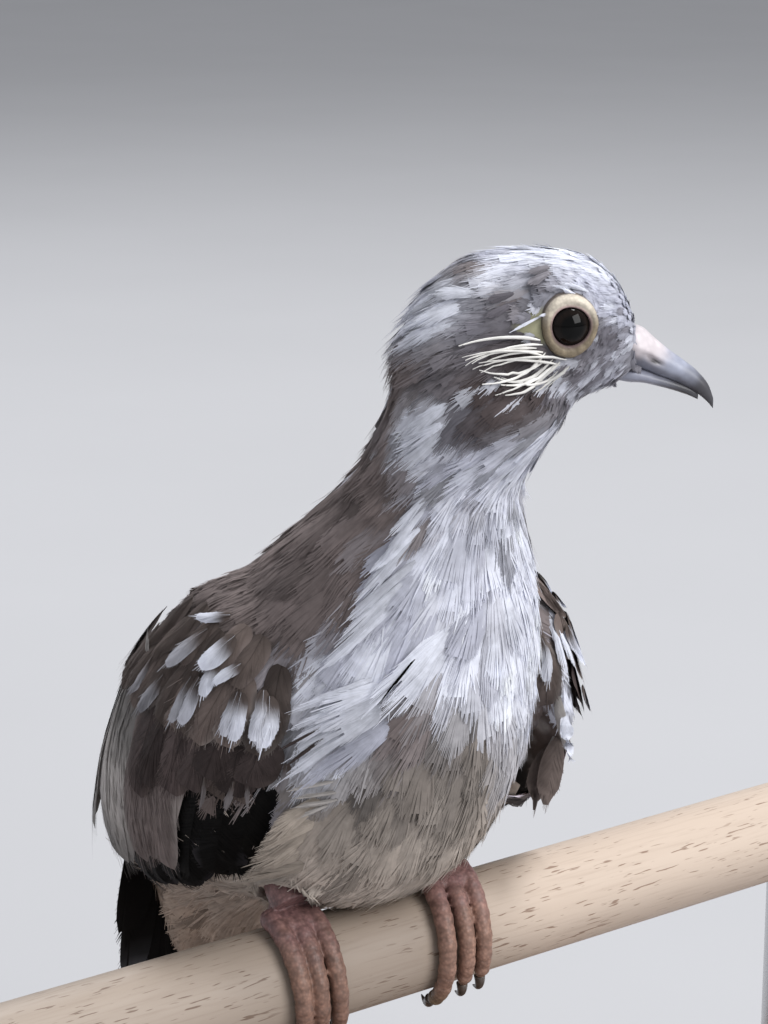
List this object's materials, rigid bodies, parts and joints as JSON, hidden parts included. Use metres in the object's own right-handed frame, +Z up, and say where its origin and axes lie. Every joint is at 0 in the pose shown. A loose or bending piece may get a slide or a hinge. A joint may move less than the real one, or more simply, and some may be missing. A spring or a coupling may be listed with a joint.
{
  "type": "diamond dove on a perch",
  "caption": "Life-size young diamond dove in scruffy grey and white plumage, gripping a short wooden dowel perch held by two rods on a flat display base, head turned in profile.",
  "frame": {"origin": "middle of the display base's underside, on the floor", "axes": "+Z up; the dove's body faces -Y and its left is +X; the perch runs along X; the head is turned about 54 degrees to the dove's left"},
  "size_m": [0.15, 0.112, 0.1565],
  "materials": {
    "plumage": "soft matt contour feathers",
    "flight_feathers": "dull dark vanes with a faint sheen",
    "bill": "horn, dark grey at the tip and pinkish white at the root",
    "eye": "wet, almost black",
    "eye_ring": "bare pale cream skin",
    "foot": "scaly mauve-pink skin",
    "claw": "dark horn",
    "perch_wood": "plain sanded beech",
    "stand_wood": "dark satin walnut",
    "stand_metal": "satin rod"
  },
  "bodies": {
    "root": {"bill_lower": "bill", "bill_upper": "bill", "claw_left_hind": "claw", "claw_left_inner": "claw", "claw_left_middle": "claw", "claw_left_outer": "claw", "claw_right_hind": "claw", "claw_right_inner": "claw", "claw_right_middle": "claw", "claw_right_outer": "claw", "eye_left": "eye", "eye_right": "eye", "eye_ring_left": "eye_ring", "eye_ring_right": "eye_ring", "head": "plumage", "neck": "plumage", "perch": "perch_wood", "shank_left": "foot", "shank_right": "foot", "stand_base": "stand_wood", "stand_rod_left": "stand_metal", "stand_rod_right": "stand_metal", "tail": "flight_feathers", "toe_left_hind": "foot", "toe_left_inner": "foot", "toe_left_middle": "foot", "toe_left_outer": "foot", "toe_right_hind": "foot", "toe_right_inner": "foot", "toe_right_middle": "foot", "toe_right_outer": "foot", "trunk": "plumage", "wing_left_coverts": "plumage", "wing_left_flights": "flight_feathers", "wing_right_coverts": "plumage", "wing_right_flights": "flight_feathers"}
  },
  "joints": []
}
